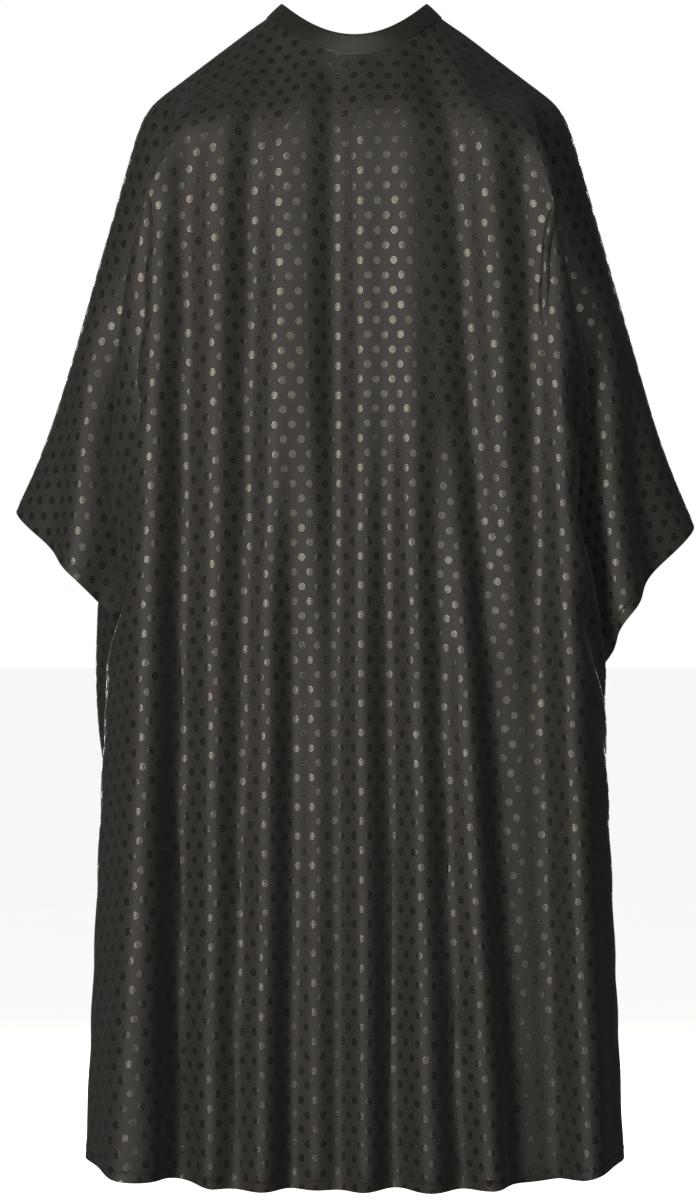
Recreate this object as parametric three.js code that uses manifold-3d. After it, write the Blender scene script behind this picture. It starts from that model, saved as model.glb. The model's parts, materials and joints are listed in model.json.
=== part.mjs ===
// Barber cape: a draped polyester panel, a folded neck band and a row of snap fasteners.
// Millimetres, +Z up, front towards -Y. The origin is the centre of the neck opening,
// level with the upper edge of the neck band at the front.
import * as THREE from 'three';
import { mergeVertices } from 'three/addons/utils/BufferGeometryUtils.js';
import Module from 'manifold-3d';

// ---- Driving dimensions -------------------------------------------------------------

// Neck opening: its radius, and how far its upper edge rises from the front level.
const neckRadius = 75;
const neckRise = { front: 0, side: 44, back: 18 };
// Outward lean of the neck band from the vertical, in degrees.
const bandLean = { front: 15, side: 47, back: 35 };
const backSlit = 2.4;

// Neck band: a strip folded over the panel's neck edge, with an interlining in the fold.
const bandWidth = 22;
const bandWall = 0.5;
const bandPocket = 1.5;
const interliningThickness = 0.6;

// Cape panel, as it hangs from the shoulders.
const panelThickness = 0.8;
const panelSeam = 8;
const shoulder = { halfWidth: 226, front: 128, back: 132 };
const shoulderDrop = { front: 130, side: 73, back: 92 };
const shoulderRounding = 62;
const frontLength = 1163;
const backLength = 290;
const wingReach = 357;
const wingDrop = 513;
const hemHalfWidth = 280;
const hemDepth = 145;

// Snap fasteners along the right end of the band, and the tab that closes on them.
const snapCount = 6;
const snapSpacing = 15.7;
const firstSnap = 10.5;
const snapBaseRadius = 4.5;
const snapDisc = 0.5;
const studRadius = 2;
const studHeight = 1.6;
const shaftRadius = 1;
const socketPlay = 0.8;
const socketFloor = 0.6;
const capRadius = 5;
const capHeight = 0.8;
const socketCount = 2;
const tabRoot = 15.7;
const tabRamp = 14;
const tabTip = 12;
const tabThickness = 1.6;
const tabWidth = 20;

// Gap between pieces that touch.
const clearance = 0.35;

// Facets.
const panelSteps = 80;
const legSteps = 20;
const bandSteps = 64;
const tabSteps = 14;
const snapSides = 12;

// ---- Materials ----------------------------------------------------------------------

const material = (color, roughness, metalness) =>
  new THREE.MeshStandardMaterial({ color, roughness, metalness });

const capeCloth = () => material(0x33312d, 0.5, 0);
const bandSatin = () => material(0x35332e, 0.45, 0);
const interliningFelt = () => material(0xd9d6cf, 0.9, 0);
const nickel = () => material(0xb9b7b1, 0.3, 1);

// ---- Solid helpers ------------------------------------------------------------------

const wasm = await Module();
wasm.setup();

function geometryOf(points, triangles) {
  const geometry = new THREE.BufferGeometry();
  const positions = points.flatMap((point) => [point.x, point.y, point.z]);
  geometry.setAttribute('position', new THREE.Float32BufferAttribute(positions, 3));
  geometry.setIndex(triangles);
  geometry.computeVertexNormals();
  return geometry;
}

function toManifold(source) {
  const bare = source.clone();
  bare.deleteAttribute('normal');
  bare.deleteAttribute('uv');
  const merged = mergeVertices(bare, 1e-5);
  return new wasm.Manifold(new wasm.Mesh({
    numProp: 3,
    vertProperties: new Float32Array(merged.attributes.position.array),
    triVerts: new Uint32Array(merged.index.array),
  }));
}

function toGeometry(solid) {
  const mesh = solid.getMesh();
  const geometry = new THREE.BufferGeometry();
  geometry.setAttribute('position', new THREE.BufferAttribute(mesh.vertProperties, 3));
  geometry.setIndex(new THREE.BufferAttribute(mesh.triVerts, 1));
  geometry.computeVertexNormals();
  return geometry;
}

// A closed solid from rings of points: neighbouring rings are joined, and the polygon
// that each ring follows closes the two ends.
function loft(rings, polygon) {
  const count = polygon.length;
  const triangles = [];
  for (let ring = 0; ring < rings.length - 1; ring += 1) {
    for (let side = 0; side < count; side += 1) {
      const next = (side + 1) % count;
      const a = ring * count + side;
      const b = ring * count + next;
      triangles.push(a, a + count, b, b, a + count, b + count);
    }
  }
  const last = (rings.length - 1) * count;
  for (const [a, b, c] of THREE.ShapeUtils.triangulateShape(polygon, [])) {
    triangles.push(a, b, c);
    triangles.push(last + a, last + c, last + b);
  }
  return geometryOf(rings.flat(), triangles);
}

// ---- Neck line ----------------------------------------------------------------------

// A value that runs smoothly round the neck from front to side to back.
function around({ front, side, back }, angle) {
  const mean = (front + back + 2 * side) / 4;
  const tilt = (front - back) / 2;
  const saddle = (front + back - 2 * side) / 4;
  return mean + tilt * Math.cos(angle) + saddle * Math.cos(2 * angle);
}

// A point of the neck band's middle surface. The angle runs from the front (0) towards
// +X to the back (PI), and down runs across the band from its upper edge.
function bandSurface(angle, down) {
  const lean = THREE.MathUtils.degToRad(around(bandLean, angle));
  const radius = neckRadius + down * Math.sin(lean);
  const height = around(neckRise, angle) - down * Math.cos(lean);
  return new THREE.Vector3(radius * Math.sin(angle), -radius * Math.cos(angle), height);
}

function normalOf(surface, u, v, stepU, stepV) {
  const alongU = surface(u + stepU, v).sub(surface(u - stepU, v));
  const alongV = surface(u, v + stepV).sub(surface(u, v - stepV));
  return alongV.cross(alongU).normalize();
}

const bandNormal = (angle, down) => normalOf(bandSurface, angle, down, 0.01, 0.1);

// A point at a height above the band's middle surface.
function bandPoint(angle, down, height) {
  return bandSurface(angle, down).addScaledVector(bandNormal(angle, down), height);
}

// Distances along the neck, measured from the centre back towards +X, as angles.
const fromBack = (distance) => Math.PI - distance / neckRadius;

const slitAngle = backSlit / 2 / neckRadius;
const bandFace = bandPocket / 2 + bandWall;

// A strip that follows the neck: its cross-section is given as (down, height) pairs.
function neckStrip(section, start, end, steps, lift = () => 0) {
  const polygon = section.map(([down, height]) => new THREE.Vector2(down, height));
  const rings = [];
  for (let step = 0; step <= steps; step += 1) {
    const angle = THREE.MathUtils.lerp(start, end, step / steps);
    const rise = lift(angle);
    rings.push(section.map(([down, height]) => bandPoint(angle, down, height + rise)));
  }
  return loft(rings, polygon);
}

// ---- Snap fasteners: heights above the band's middle surface -------------------------

const snapAngles = Array.from(
  { length: snapCount },
  (_, index) => fromBack(firstSnap + index * snapSpacing),
);
const snapDown = bandWidth / 2;
const studBase = bandFace + clearance;
const studFoot = studBase + snapDisc;
const studTop = studFoot + studHeight;
const socketMouth = studFoot + clearance;
const socketBed = studTop + clearance;
const socketBack = socketBed + socketFloor;
const tabBottom = socketBack + clearance;
const tabTop = tabBottom + tabThickness;
const capBase = tabTop + clearance;
const shaftHole = shaftRadius + clearance;

function lathe(profile) {
  const points = profile.map(([radius, height]) => new THREE.Vector2(radius, height));
  return new THREE.LatheGeometry(points, snapSides);
}

const studGeometry = lathe([
  [0, studTop - snapDisc],
  [shaftHole, studTop - snapDisc],
  [shaftHole, studBase],
  [snapBaseRadius, studBase],
  [snapBaseRadius, studFoot],
  [studRadius * 0.8, studFoot],
  [studRadius, studTop - studHeight / 2],
  [studRadius * 0.8, studTop],
  [0, studTop],
]);

const postGeometry = lathe([
  [0, -studFoot],
  [snapBaseRadius * 0.9, -studFoot],
  [snapBaseRadius, -studBase],
  [shaftRadius, -studBase],
  [shaftRadius, studTop - snapDisc - clearance],
  [0, studTop - snapDisc - clearance],
]);

const socketBore = studRadius + socketPlay;
const socketGeometry = lathe([
  [socketBore, socketMouth],
  [snapBaseRadius, socketMouth],
  [snapBaseRadius, socketBack],
  [shaftHole, socketBack],
  [shaftHole, socketBed],
  [socketBore, socketBed],
  [socketBore, socketMouth],
]);

const capGeometry = lathe([
  [0, socketBed],
  [shaftRadius, socketBed],
  [shaftRadius, capBase],
  [capRadius, capBase],
  [capRadius * 0.9, capBase + capHeight * 0.6],
  [capRadius * 0.5, capBase + capHeight],
  [0, capBase + capHeight],
]);

// Lathe shapes stand on +Y, so their axis is turned onto the band's normal.
function placeOnBand(mesh, angle) {
  const axis = bandNormal(angle, snapDown);
  mesh.position.copy(bandSurface(angle, snapDown));
  mesh.quaternion.setFromUnitVectors(new THREE.Vector3(0, 1, 0), axis);
  mesh.updateMatrixWorld();
  return mesh;
}

function snapPiece(name, geometry, angle) {
  const mesh = new THREE.Mesh(geometry, nickel());
  mesh.name = name;
  return placeOnBand(mesh, angle);
}

// A strip with a round hole through it at each of the given places.
function pierced(strip, angles) {
  let solid = toManifold(strip);
  for (const angle of angles) {
    const drill = new THREE.CylinderGeometry(shaftHole, shaftHole, 2 * tabTop + 4, snapSides);
    const placed = placeOnBand(new THREE.Mesh(drill), angle);
    solid = solid.subtract(toManifold(drill.applyMatrix4(placed.matrixWorld)));
  }
  return toGeometry(solid);
}

// ---- Band, interlining and tab -------------------------------------------------------

const halfPocket = bandPocket / 2;
const bandStrip = neckStrip([
  [bandWidth, bandFace],
  [-bandWall, bandFace],
  [-bandWall, -bandFace],
  [bandWidth, -bandFace],
  [bandWidth, -halfPocket],
  [0, -halfPocket],
  [0, halfPocket],
  [bandWidth, halfPocket],
], slitAngle - Math.PI, Math.PI - slitAngle, bandSteps);

const interliningTop = clearance;
const interliningEnd = bandWidth - panelSeam - clearance;
const interliningHalf = interliningThickness / 2;
const interliningStrip = neckStrip([
  [interliningEnd, interliningHalf],
  [interliningTop, interliningHalf],
  [interliningTop, -interliningHalf],
  [interliningEnd, -interliningHalf],
], slitAngle - Math.PI, Math.PI - slitAngle, bandSteps);

const tabStart = fromBack(-tabRoot);
const lastSocket = snapAngles[socketCount - 1];
const tabEnd = lastSocket - tabTip / neckRadius;
const tabEdge = (bandWidth - tabWidth) / 2;

// The tab leaves the band's face at its root and rises to the height of the sockets.
function tabLift(angle) {
  const travelled = (tabStart - angle) * neckRadius;
  const rest = bandFace + clearance - tabBottom;
  return rest * (1 - THREE.MathUtils.smoothstep(travelled, 0, tabRamp));
}

const tabStrip = neckStrip([
  [tabEdge + tabWidth, tabTop],
  [tabEdge, tabTop],
  [tabEdge, tabBottom],
  [tabEdge + tabWidth, tabBottom],
], tabEnd, tabStart, tabSteps, tabLift);

// ---- Cape panel ----------------------------------------------------------------------

// The free edge of the panel, from the centre front to the centre back on the +X side:
// along the level hem, back round the side and up to the wing tip, then over it and
// down to the back flap's corner and up to its middle.
const waistHalfWidth = hemHalfWidth * 0.94;
const frontEdge = [
  new THREE.Vector3(0, -hemDepth, -frontLength),
  new THREE.Vector3(hemHalfWidth * 0.5, -hemDepth, -frontLength),
  new THREE.Vector3(hemHalfWidth * 0.93, -hemDepth * 0.75, -frontLength),
  new THREE.Vector3(hemHalfWidth, hemDepth * 0.15, -frontLength),
  new THREE.Vector3(hemHalfWidth * 0.95, hemDepth * 0.85, -frontLength * 0.98),
  new THREE.Vector3(waistHalfWidth, hemDepth * 0.5, -frontLength * 0.75),
  new THREE.Vector3(waistHalfWidth, -hemDepth * 0.4, -frontLength * 0.59),
  new THREE.Vector3(wingReach * 0.88, -hemDepth * 0.35, -wingDrop * 1.13),
];
const backEdge = [
  new THREE.Vector3(wingReach, 0, -wingDrop),
  new THREE.Vector3(wingReach * 0.84, hemDepth * 0.55, -wingDrop * 1.16),
  new THREE.Vector3(wingReach * 0.58, shoulder.back * 0.98, -wingDrop * 1.36),
  new THREE.Vector3(wingReach * 0.28, shoulder.back * 1.08, -wingDrop * 0.9),
  new THREE.Vector3(0, shoulder.back * 1.1, -backLength),
];
const edgeLine = new THREE.CatmullRomCurve3([...frontEdge, ...backEdge], false, 'centripetal');
const wingShare = frontEdge.length / (frontEdge.length + backEdge.length - 1);

// The turn about the neck of the leg that ends at a share of the free edge: the wing tip
// is straight to the side.
function turnAt(share) {
  const front = share / wingShare;
  const back = (share - wingShare) / (1 - wingShare);
  return (share < wingShare ? front : 1 + back) * (Math.PI / 2 - slitAngle / 2);
}

const seamEnd = bandWidth + 2;

function shoulderPoint(angle) {
  const depth = Math.cos(angle) > 0 ? shoulder.front : shoulder.back;
  return new THREE.Vector3(
    shoulder.halfWidth * Math.sin(angle),
    -depth * Math.cos(angle),
    -around(shoulderDrop, angle),
  );
}

// One leg of the drape: from inside the band over the shoulder to the free edge. The
// place runs from -1 at one side of the back slit to 1 at the other.
function legPoints(place) {
  const turn = turnAt(Math.abs(place));
  const collar = bandSurface(turn, seamEnd);
  const crest = shoulderPoint(turn);
  const edge = edgeLine.getPoint(Math.abs(place));
  const above = collar.clone().sub(crest);
  const below = edge.clone().sub(crest);
  const inset = Math.min(shoulderRounding, above.length() * 0.8, below.length() * 0.8);
  const start = crest.clone().addScaledVector(above.normalize(), inset);
  const finish = crest.clone().addScaledVector(below.normalize(), inset);
  const path = new THREE.CurvePath();
  path.add(new THREE.LineCurve3(collar, start));
  path.add(new THREE.QuadraticBezierCurve3(start, crest, finish));
  path.add(new THREE.LineCurve3(finish, edge));
  const mirror = new THREE.Vector3(Math.sign(place) || 1, 1, 1);
  const points = [bandSurface(turn, bandWidth - panelSeam).multiply(mirror)];
  for (let step = 0; step < legSteps; step += 1) {
    const share = (step / (legSteps - 1)) ** 1.25;
    points.push(path.getPointAt(share).multiply(mirror));
  }
  return points;
}

function panelGeometry() {
  const places = [];
  for (let step = 0; step <= panelSteps; step += 1) {
    places.push((2 * step) / panelSteps - 1);
  }
  const legs = places.map(legPoints);
  const columns = legs.length;
  const rows = legs[0].length;
  const at = (column, row) => legs[THREE.MathUtils.clamp(column, 0, columns - 1)][
    THREE.MathUtils.clamp(row, 0, rows - 1)].clone();
  const half = panelThickness / 2;
  const outer = [];
  const inner = [];
  for (let column = 0; column < columns; column += 1) {
    for (let row = 0; row < rows; row += 1) {
      const across = at(column + 1, row).sub(at(column - 1, row));
      const down = at(column, row + 1).sub(at(column, row - 1));
      const angle = turnAt(Math.abs(places[column])) * Math.sign(places[column]);
      const normal = row < 2
        ? bandNormal(angle, row === 0 ? bandWidth - panelSeam : seamEnd)
        : down.cross(across).normalize();
      outer.push(at(column, row).addScaledVector(normal, half));
      inner.push(at(column, row).addScaledVector(normal, -half));
    }
  }
  const shift = outer.length;
  const triangles = [];
  const quad = (a, b, c, d) => triangles.push(a, b, c, a, c, d);
  for (let column = 0; column < columns - 1; column += 1) {
    for (let row = 0; row < rows - 1; row += 1) {
      const a = column * rows + row;
      const b = a + rows;
      quad(a, a + 1, b + 1, b);
      quad(shift + a, shift + b, shift + b + 1, shift + a + 1);
    }
  }
  for (let row = 0; row < rows - 1; row += 1) {
    const near = row;
    const far = (columns - 1) * rows + row;
    quad(near, shift + near, shift + near + 1, near + 1);
    quad(far, far + 1, shift + far + 1, shift + far);
  }
  for (let column = 0; column < columns - 1; column += 1) {
    const top = column * rows;
    const low = top + rows - 1;
    quad(top, top + rows, shift + top + rows, shift + top);
    quad(low, shift + low, shift + low + rows, low + rows);
  }
  return geometryOf([...outer, ...inner], triangles);
}

// ---- Assembly ------------------------------------------------------------------------

function namedMesh(name, geometry, finish) {
  const mesh = new THREE.Mesh(geometry, finish);
  mesh.name = name;
  return mesh;
}

const cape = new THREE.Group();
cape.add(namedMesh('cape_panel', panelGeometry(), capeCloth()));
cape.add(namedMesh('neck_band', pierced(bandStrip, snapAngles), bandSatin()));
const interlining = pierced(interliningStrip, snapAngles);
cape.add(namedMesh('band_interlining', interlining, interliningFelt()));
snapAngles.forEach((angle, index) => {
  cape.add(snapPiece(`snap_stud_${index + 1}`, studGeometry, angle));
  cape.add(snapPiece(`snap_post_${index + 1}`, postGeometry, angle));
});

const socketAngles = snapAngles.slice(0, socketCount);
const tab = new THREE.Group();
tab.add(namedMesh('neck_tab', pierced(tabStrip, socketAngles), bandSatin()));
socketAngles.forEach((angle, index) => {
  tab.add(snapPiece(`snap_socket_${index + 1}`, socketGeometry, angle));
  tab.add(snapPiece(`snap_cap_${index + 1}`, capGeometry, angle));
});
cape.add(tab);

export default cape;
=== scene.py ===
"""Barber cape: a draped polyester panel with woven dots, a satin neck band, its tab and snaps."""
import json
import math

import bpy
import numpy as np
from mathutils import Matrix, Vector


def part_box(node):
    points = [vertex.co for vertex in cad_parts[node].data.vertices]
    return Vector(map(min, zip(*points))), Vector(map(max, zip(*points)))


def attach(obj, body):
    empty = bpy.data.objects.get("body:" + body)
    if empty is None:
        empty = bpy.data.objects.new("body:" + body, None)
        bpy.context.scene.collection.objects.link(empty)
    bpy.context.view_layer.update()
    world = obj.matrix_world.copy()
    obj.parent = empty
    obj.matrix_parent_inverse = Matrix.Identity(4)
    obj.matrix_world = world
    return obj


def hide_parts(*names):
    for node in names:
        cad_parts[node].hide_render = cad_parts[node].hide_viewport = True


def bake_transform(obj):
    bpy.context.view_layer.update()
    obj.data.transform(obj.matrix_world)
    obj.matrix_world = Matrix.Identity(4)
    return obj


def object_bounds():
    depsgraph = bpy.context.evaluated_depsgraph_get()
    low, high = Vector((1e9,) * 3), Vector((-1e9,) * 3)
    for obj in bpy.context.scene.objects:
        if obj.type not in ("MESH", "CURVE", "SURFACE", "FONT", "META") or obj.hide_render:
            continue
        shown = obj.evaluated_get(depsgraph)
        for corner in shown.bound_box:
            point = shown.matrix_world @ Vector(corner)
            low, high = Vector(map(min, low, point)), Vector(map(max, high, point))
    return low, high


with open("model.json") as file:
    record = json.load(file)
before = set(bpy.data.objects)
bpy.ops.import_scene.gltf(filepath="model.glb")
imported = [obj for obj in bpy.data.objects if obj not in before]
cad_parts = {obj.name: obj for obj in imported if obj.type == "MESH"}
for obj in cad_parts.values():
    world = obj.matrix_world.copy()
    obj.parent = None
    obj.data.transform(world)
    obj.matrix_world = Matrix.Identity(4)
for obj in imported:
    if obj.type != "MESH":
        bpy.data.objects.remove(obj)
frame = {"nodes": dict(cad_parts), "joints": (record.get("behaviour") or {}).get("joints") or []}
cad_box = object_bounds()

bl_info = {
    "name": "Barber cape",
    "version": (1, 0, 0),
    "blender": (4, 5, 0),
    "location": "View3D > Sidebar > Barber Cape",
    "description": "Builds a draped barber cape on its packed frame",
    "category": "Add Mesh",
}

MM = 0.001
GRAVITY = 9.81
# Added to lengths so that nothing is divided by zero.
TINY = 1e-12
SMALL = 1e-9

# How much of a stretch each kind of link takes out in one step: along the threads, across
# them on the bias, and over two cells against bending.
THREAD_LINK = 1.0
BIAS_LINK = 0.35
BENDING_LINK = 0.2

# The neck line: front, side and back values of the rise of its upper edge, in metres,
# and of the band's outward lean, in degrees.
NECK_RISE = (0.0, 0.044, 0.018)
NECK_LEAN = (15.0, 47.0, 35.0)

# The right half of the cut panel's outline, front hem to back hem, round the neck's centre.
CUT = [
    (0, -1.24), (0.19, -1.23), (0.36, -1.195), (0.50, -1.12), (0.595, -0.98), (0.64, -0.74),
    (0.65, -0.38), (0.65, 0), (0.65, 0.17), (0.61, 0.28), (0.50, 0.33), (0.28, 0.345), (0, 0.345),
]

# The folds of the front from one side to the other: the place across at the hem and at
# the shoulders, and how far the fold stands out (above 0) or in (below 0) at each.
FOLDS = [
    (-0.262, -0.212, -0.2, -0.2), (-0.222, -0.182, 1.0, 0.8), (-0.176, -0.174, -1.3, -1.3),
    (-0.143, -0.136, 1.0, 0.8), (-0.122, -0.098, -1.0, -1.2), (-0.092, -0.080, 1.0, 0.9),
    (-0.062, -0.062, -1.1, 0.7), (-0.038, -0.040, 0.6, 0.9), (-0.014, -0.022, -1.0, -1.3),
    (0.011, 0.006, 1.1, 0.8), (0.040, 0.026, -1.1, 0.5), (0.076, 0.048, 1.0, 0.9),
    (0.107, 0.066, -0.7, 0.7), (0.140, 0.080, 1.1, 0.6), (0.166, 0.096, -1.2, -1.3),
    (0.184, 0.128, -0.3, 0.8), (0.206, 0.176, -1.2, -1.2), (0.236, 0.188, 1.0, 0.8),
    (0.262, 0.212, -0.2, -0.2),
]

# The wearer's right half, which the cloth hangs over and which isn't shown: capsules as
# two ends and the radius at each.
WEARER = [
    ((0.055, 0, -0.003), (0.172, 0, -0.098), 0.045, 0.050),
    ((0, 0, -0.07), (0.12, 0, -0.11), 0.070, 0.070),
    ((0.02, 0, -0.14), (0.115, 0, -0.21), 0.085, 0.088),
    ((0.115, 0, -0.21), (0.125, 0, -0.56), 0.088, 0.088),
    ((0.125, 0, -0.56), (0.17, 0.02, -1.20), 0.088, 0.088),
    ((0.172, 0, -0.110), (0.222, 0, -0.27), 0.054, 0.050),
    ((0.222, 0, -0.27), (0.300, 0, -0.49), 0.050, 0.036),
]


def linear(code):
    """A colour's linear red, green and blue from its sRGB hex code."""
    parts = [int(code[place:place + 2], 16) / 255 for place in (1, 3, 5)]
    return [part / 12.92 if part <= 0.04045 else ((part + 0.055) / 1.055) ** 2.4 for part in parts]


def size(name, description, default):
    """A length that a user can set."""
    return bpy.props.FloatProperty(
        name=name, description=description, default=default, min=0, precision=5, unit="LENGTH")


def colour(name, description, code):
    """A colour that a user can set."""
    return bpy.props.FloatVectorProperty(
        name=name, description=description, default=linear(code), min=0, max=1, subtype="COLOR")


class CapeSizes(bpy.types.PropertyGroup):
    """The cape's own sizes."""

    neck_radius: size("Neck radius", "Radius of the band's upper edge", 0.075)
    neck_cut: size("Neck cut", "Radius of the hole cut in the flat panel", 0.083)
    panel_thickness: size("Cloth thickness", "Thickness of the woven panel", 0.0006)
    hem_width: size("Hem width", "Width of the turned hem", 0.012)
    fold_depth: bpy.props.FloatProperty(
        name="Fold depth", description="How far the folds stand out, as a share of their slack",
        default=3.0, min=0)
    dot_pitch: size("Dot pitch", "Distance between two dots along the length", 0.0294)
    dot_spacing: size("Dot spacing", "Distance between two dots across the width", 0.0185)
    dot_diameter: size("Dot diameter", "Diameter of a woven dot", 0.0078)
    band_width: size("Band width", "Width of the folded neck band", 0.022)
    band_seam: size("Band seam", "How deep the panel's neck edge sits in the band", 0.008)
    band_slit: size("Back slit", "Gap between the band's two ends", 0.0024)
    tab_width: size("Tab width", "Width of the closing tab", 0.020)
    tab_thickness: size("Tab thickness", "Thickness of the closing tab", 0.0016)
    stitch_length: size("Stitch length", "Length of one stitch", 0.0032)
    stitch_gap: size("Stitch gap", "Gap between two stitches", 0.0012)


class CapeColours(bpy.types.PropertyGroup):
    """The cape's colours."""

    ground: colour("Ground", "The panel's woven ground", "#2d2b28")
    dots: colour("Dots", "The satin dots", "#484540")
    satin: colour("Satin", "The neck band and its tab", "#25231f")
    thread: colour("Thread", "The sewing thread", "#1c1b19")
    felt: colour("Interlining", "The non-woven interlining", "#d9d6cf")
    nickel: colour("Nickel", "The plated snaps", "#c3c0b8")
    floor: colour("Floor", "The studio floor", "#f4f4f2")


# ---- Neck line ------------------------------------------------------------------------

def around(values, turn):
    """A value that runs smoothly round the neck from front to side to back."""
    front, side, back = values
    mean = (front + back + 2 * side) / 4
    return mean + (front - back) / 2 * np.cos(turn) + (front + back - 2 * side) / 4 * np.cos(2 * turn)


def neck_middle(turn, down, radius):
    """Points of the band's middle surface: down runs across it from its upper edge."""
    lean = np.radians(around(NECK_LEAN, turn))
    out = radius + down * np.sin(lean)
    rise = around(NECK_RISE, turn) - down * np.cos(lean)
    return np.stack([out * np.sin(turn), -out * np.cos(turn), rise], -1)


def neck_normal(turn, down, radius):
    """The outward normal of the band's middle surface."""
    nudge = 0.01
    shift = 0.1 * MM
    along = neck_middle(turn + nudge, down, radius) - neck_middle(turn - nudge, down, radius)
    across = neck_middle(turn, down + shift, radius) - neck_middle(turn, down - shift, radius)
    normal = np.cross(across, along)
    return normal / np.linalg.norm(normal, axis=-1, keepdims=True)


def neck_point(turn, down, height, radius):
    """Points at a height above the band's middle surface."""
    normal = neck_normal(turn, down, radius)
    return neck_middle(turn, down, radius) + normal * np.asarray(height)[..., None]


# ---- The panel as cloth ---------------------------------------------------------------

def half_outline(steps=40):
    """A smooth curve through the points of the cut's right half."""
    points = np.array(CUT, float)
    points = np.vstack([2 * points[0] - points[1], points, 2 * points[-1] - points[-2]])
    share = np.linspace(0, 1, steps, endpoint=False)[:, None]
    curve = []
    for a, b, c, d in zip(points[:-3], points[1:-2], points[2:-1], points[3:]):
        bend = (2 * a - 5 * b + 4 * c - d) * share ** 2 + (3 * b - a - 3 * c + d) * share ** 3
        curve.append((2 * b + (c - a) * share + bend) / 2)
    curve.append(points[-2:-1])
    return np.vstack(curve)


def whole_outline():
    """The closed outline of the cut, from the front hem's middle round to it again."""
    edge = half_outline()
    return np.vstack([edge, edge[::-1][1:] * [-1, 1]])


class Cloth:
    """The cut panel as a grid of cells, with the links that hold its points together."""

    def __init__(self, step, neck_cut):
        self.step = step
        self.neck_cut = neck_cut
        self.make_cells()
        self.fit_rim()
        self.make_links()

    def make_cells(self):
        """The cells between the neck hole and the outline. The back slit has two edges."""
        edge = half_outline()
        farthest = 1.3
        count = int(farthest / self.step)
        column, row = np.meshgrid(np.arange(-count, count), np.arange(-count, count))
        x = (column + 0.5) * self.step
        y = (row + 0.5) * self.step
        reach = np.interp(
            np.arctan2(np.abs(x), -y), np.arctan2(edge[:, 0], -edge[:, 1]), np.hypot(*edge.T))
        inside = (np.hypot(x, y) < reach) & (np.hypot(x, y) > self.neck_cut)
        self.column = column[inside]
        self.row = row[inside]
        corners = []
        for right, up in ((0, 0), (1, 0), (1, 1), (0, 1)):
            i = self.column + right
            j = self.row + up
            lip = np.where((i == 0) & (j > 0), np.where(self.column < 0, 1, 2), 0)
            corners.append(np.stack([i, j, lip], 1))
        points, order = np.unique(np.concatenate(corners), axis=0, return_inverse=True)
        self.quads = order.ravel().reshape(4, -1).T
        self.place = points[:, :2]
        self.flat = points[:, :2] * self.step
        self.lip = np.array([0, -1, 1])[points[:, 2]]
        self.count = len(points)

    def fit_rim(self):
        """The points of the rim move onto the outline or the neck hole."""
        outline = whole_outline()
        neck_reach = self.neck_cut + 1.6 * self.step
        outline_reach = 1.3 * self.step
        uses = np.bincount(self.quads.ravel(), minlength=self.count)
        rim = uses < np.where(self.lip != 0, 2, 4)
        for point in np.where(rim)[0]:
            spot = self.flat[point]
            radius = math.hypot(*spot)
            if radius < neck_reach:
                self.flat[point] = spot * self.neck_cut / radius
                continue
            near = int(((outline - spot) ** 2).sum(1).argmin())
            if math.dist(outline[near], spot) > outline_reach:
                continue
            best = outline[near]
            for start in (near - 1, near):
                if not 0 <= start < len(outline) - 1:
                    continue
                run = outline[start + 1] - outline[start]
                share = np.clip((spot - outline[start]) @ run / (run @ run + TINY), 0, 1)
                found = outline[start] + share * run
                if math.dist(found, spot) < math.dist(best, spot):
                    best = found
            self.flat[point] = best
            if self.place[point, 0] == 0:
                self.flat[point, 0] = 0
        across, toward = self.flat.T
        self.turn = np.where(self.lip == 0, np.arctan2(across, -toward), self.lip * np.pi)
        self.radius = np.hypot(across, toward)
        pairs = np.concatenate([self.quads[:, [a, (a + 1) % 4]] for a in range(4)])
        self.edges, uses = np.unique(np.sort(pairs, axis=1), axis=0, return_counts=True)
        self.rim_edges = self.edges[uses == 1]

    def make_links(self):
        """Links along the threads, across them and, to resist bending, over two cells."""
        self.links = []
        a, b, c, d = self.quads.T
        odd_column = self.column % 2
        odd_row = self.row % 2
        both = np.concatenate
        self.add_links(both([a, d]), both([b, c]), both([odd_column] * 2), THREAD_LINK)
        self.add_links(both([a, b]), both([d, c]), both([odd_row] * 2), THREAD_LINK)
        self.add_links(a, c, odd_row, BIAS_LINK)
        self.add_links(b, d, odd_row, BIAS_LINK)
        cells = {spot: index for index, spot in enumerate(zip(self.column, self.row))}
        beside = []
        above = []
        for (i, j), cell in cells.items():
            right = cells.get((i + 1, j))
            if right is not None and not (i == -1 and j >= 0):
                beside += [(a[cell], b[right], i // 2 % 2), (d[cell], c[right], i // 2 % 2)]
            up = cells.get((i, j + 1))
            if up is not None:
                above += [(a[cell], d[up], j // 2 % 2), (b[cell], c[up], j // 2 % 2)]
        for start, end, group in (np.array(beside).T, np.array(above).T):
            self.add_links(start, end, group, BENDING_LINK, bending=True)

    def add_links(self, start, end, group, weight, bending=False):
        """Links in two groups, so that no two of a group share a point along the thread."""
        for which in (0, 1):
            pair = np.stack([start, end], 1)[group == which]
            pair = np.unique(pair, axis=0)
            length = np.hypot(*(self.flat[pair[:, 0]] - self.flat[pair[:, 1]]).T)
            sound = length > 0.01 * MM
            self.links.append((*pair[sound].T, length[sound], weight, bending))


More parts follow.
